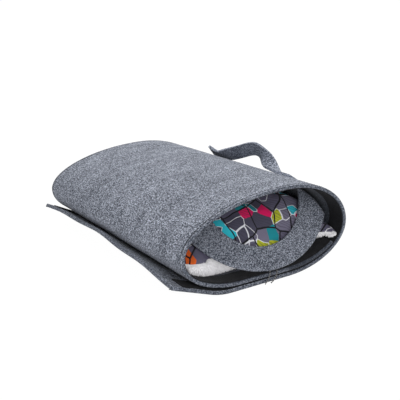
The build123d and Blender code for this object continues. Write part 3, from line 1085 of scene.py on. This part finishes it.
def strap_outline():
    """Cross-section of the band, with rounded corners."""
    outline = []
    for side_x, side_y, start in ((1, 1, 0), (-1, 1, 90), (-1, -1, 180), (1, -1, 270)):
        for turn in (0, 45, 90):
            angle = math.radians(start + turn)
            x = side_x * (STRAP_WIDTH / 2 - CORNER) + CORNER * math.cos(angle)
            y = side_y * (STRAP_THICK / 2 - CORNER) + CORNER * math.sin(angle)
            outline.append((x, y))
    return outline


def strap_half(name, first, last):
    """One half of the strap, from its sewn end to the crest of the loop."""
    rings = strap_line(first, last)
    every = strap_line(0, len(strap_places) - 1)
    offset = first * STATION_STEPS
    bm = bmesh.new()
    painted_shade = bm.faces.layers.float.new("painted_shade")
    loops = []
    for k, (centre, roll) in enumerate(rings):
        before = every[max(0, offset + k - 1)][0]
        after = every[min(len(every) - 1, offset + k + 1)][0]
        along = (after - before).normalized()
        turn = math.radians(roll)
        across = Vector((math.cos(turn), 0.0, -math.sin(turn)))
        across = (across - along * across.dot(along)).normalized()
        out = along.cross(across)
        loops.append([bm.verts.new(centre + across * x + out * y) for x, y in strap_outline()])
    for a, b in zip(loops, loops[1:]):
        for j in range(len(a)):
            k = (j + 1) % len(a)
            side = bm.faces.new((a[j], a[k], b[k], b[j]))
            # Painted shade on the side that faces away from the light, growing towards the rear.
            if j == PAINTED_SHADE_SIDE:
                side[painted_shade] = PAINTED_SHADE_SIDE_MOST * smoothly(a[j].co.y, PAINTED_SHADE_FROM, PAINTED_SHADE_TO)
    bm.faces.new(loops[0])
    bm.faces.new(loops[-1])
    half = finish_mesh(bm, name, strap_felt_painted_lighter)
    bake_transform(half)
    return half


# Painted light: the strap is the sheet's felt painted lighter as a whole, standing in for the
# light that falls on it.
strap_felt_painted_lighter = felt_material("strap felt", 1.15, 5.5, 0.3, 530.0)
front_strap = strap_half("strap_front_half", 0, CREST_STATION)
rear_strap = strap_half("strap_rear_half", CREST_STATION, len(strap_places) - 1)
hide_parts("handle_end_front", "handle_loop")
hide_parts("handle_end_rear")

SEWN_HALF_WIDTH = 0.0095
SEWN_PATCHES = ((-0.1195, -0.1015), (0.0830, 0.1010))
SEWN_PITCH = 0.0045
SEWN_LENGTH = 0.0032
sewn_lines = []
for start_y, end_y in SEWN_PATCHES:
    line = []
    for y, side in ((start_y, -1), (start_y, 1), (end_y, 1), (end_y, -1), (start_y, -1)):
        seat, slope = shoulder_place(y, STRAP_THICK / 2, 0.0)
        tilt = math.radians(slope)
        across = Vector((math.cos(tilt), 0.0, -math.sin(tilt)))
        line.append(seat + across * side * SEWN_HALF_WIDTH)
    sewn_lines.append(line)
strap_stitches = stitch_rows(
    "strap_stitches", sewn_lines, SEWN_PITCH, SEWN_LENGTH, THREAD_RADIUS
)
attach(strap_stitches, "tube")

# Tie cord: two tails of thin round black cord from behind the foot of the ring, over the rim
# and down in front of the felt.
CORD_DIAMETER = 0.0016
TIE_ROUTES = {
    "tie_cord_left": [
        (0.0050, -0.2146, 0.0264),
        (0.0042, -0.2154, 0.0202),
        (0.0015, -0.2203, 0.0169),
        (-0.0030, -0.2256, 0.0140),
        (-0.0086, -0.2278, 0.0084),
        (-0.0140, -0.2280, 0.0026),
    ],
    "tie_cord_right": [
        (0.0185, -0.2146, 0.0264),
        (0.0178, -0.2154, 0.0202),
        (0.0152, -0.2203, 0.0169),
        (0.0110, -0.2256, 0.0142),
        (0.0062, -0.2278, 0.0092),
        (0.0016, -0.2282, 0.0044),
        (-0.0026, -0.2280, 0.0022),
    ],
}


def cord_material():
    material, nodes, shader = new_material("black cord", 0.6, 0.1)
    twist = nodes.add(
        "ShaderNodeTexWave",
        {"Vector": nodes.place(), "Scale": 110.0, "Distortion": 1.0},
        bands_direction="DIAGONAL",
    ).outputs[1]
    # Painted highlights: the pale bands along the twist stand in for glints on the black cord.
    colour = nodes.ramp(twist, [(0.5, (0.008, 0.008, 0.009)), (0.85, (0.5, 0.48, 0.47))])
    connect(nodes, shader, colour, twist, 0.4, 0.0003)
    return material


black_cord = cord_material()
for cord_name, route in TIE_ROUTES.items():
    curve = bpy.data.curves.new(cord_name + "_tail", "CURVE")
    curve.dimensions = "3D"
    curve.resolution_u = 12
    curve.bevel_depth = CORD_DIAMETER / 2
    curve.bevel_resolution = 4
    curve.use_fill_caps = True
    spline = curve.splines.new("NURBS")
    spline.points.add(len(route) - 1)
    for point, place in zip(spline.points, route):
        point.co = (*place, 1.0)
    spline.order_u = 3
    spline.use_endpoint_u = True
    tail = new_piece(cord_name + "_tail", curve, black_cord)
    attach(tail, "ring")
    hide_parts(cord_name)

# Studio: a plain white floor that keeps the bag's shadow, a white world, three soft lamps and
# the camera. Camera rays see the floor and the world almost white, whatever light falls there.
WHITE = (1, 1, 1, 1)
FLOOR_REACH = 60.0
FLOOR_GLOW = 1.05
FLOOR_GLOW_SHARE = 0.94
SKY_LIGHT = 0.58
CAMERA_LENS = 67.5
CAMERA_PLACE = (-0.6896, -1.0352, 0.4667)
CAMERA_DOWN = 17.467
CAMERA_RIGHT = 34.531
floor_mesh = bpy.data.meshes.new("floor")
corners = [(-FLOOR_REACH, -FLOOR_REACH), (FLOOR_REACH, -FLOOR_REACH)]
corners += [(-x, -y) for x, y in corners]
floor_mesh.from_pydata([(x, y, 0.0) for x, y in corners], [], [(0, 1, 2, 3)])
floor_paint = bpy.data.materials.new("floor paint")
floor_paint.use_nodes = True
floor_nodes = Nodes(floor_paint.node_tree)
floor_shader = floor_paint.node_tree.nodes["Principled BSDF"]
floor_shader.inputs["Base Color"].default_value = (0.8, 0.8, 0.8, 1.0)
floor_shader.inputs["Roughness"].default_value = 0.9
floor_glow = floor_nodes.add("ShaderNodeEmission", {"Color": WHITE, "Strength": FLOOR_GLOW})
floor_ray = floor_nodes.add("ShaderNodeLightPath").outputs["Is Camera Ray"]
floor_share = floor_nodes.math("MULTIPLY", floor_ray, FLOOR_GLOW_SHARE)
floor_mix = floor_nodes.add(
    "ShaderNodeMixShader",
    {0: floor_share, 1: floor_shader.outputs[0], 2: floor_glow.outputs[0]},
)
floor_end = floor_paint.node_tree.nodes["Material Output"]
floor_paint.node_tree.links.new(floor_mix.outputs[0], floor_end.inputs["Surface"])
new_piece("floor", floor_mesh, floor_paint)

world = bpy.data.worlds.new("studio")
bpy.context.scene.world = world
world.use_nodes = True
world_nodes = Nodes(world.node_tree)
soft_sky = world_nodes.tree.nodes["Background"]
soft_sky.inputs["Color"].default_value = WHITE
soft_sky.inputs["Strength"].default_value = SKY_LIGHT
white_sky = world_nodes.add("ShaderNodeBackground", {"Color": WHITE, "Strength": 1.0})
sky_ray = world_nodes.add("ShaderNodeLightPath").outputs["Is Camera Ray"]
sky = world_nodes.add(
    "ShaderNodeMixShader", {0: sky_ray, 1: soft_sky.outputs[0], 2: white_sky.outputs[0]}
)
world_nodes.tree.links.new(sky.outputs[0], world_nodes.tree.nodes["World Output"].inputs[0])


def soft_lamp(name, place, size, power):
    """A square lamp that points at the bag."""
    lamp = bpy.data.lights.new(name, "AREA")
    lamp.shape = "SQUARE"
    lamp.size = size
    lamp.energy = power
    holder = bpy.data.objects.new(name, lamp)
    bpy.context.scene.collection.objects.link(holder)
    holder.location = place
    holder.rotation_euler = (-Vector(place)).to_track_quat("-Z", "Y").to_euler()


soft_lamp("overhead", (0.8, 0.6, 1.5), 1.2, 12.5)
soft_lamp("front", (-0.3, -1.7, 0.7), 1.0, 4.5)
soft_lamp("left", (-1.3, -1.0, 0.22), 0.8, 2.6)

camera_data = bpy.data.cameras.new("camera")
camera_data.lens = CAMERA_LENS
camera_data.sensor_width = 36.0
camera = bpy.data.objects.new("camera", camera_data)
bpy.context.scene.collection.objects.link(camera)
camera.location = CAMERA_PLACE
camera.rotation_euler = (math.radians(90.0 - CAMERA_DOWN), 0.0, math.radians(-CAMERA_RIGHT))
bpy.context.scene.camera = camera
bpy.context.scene.view_settings.view_transform = "Standard"
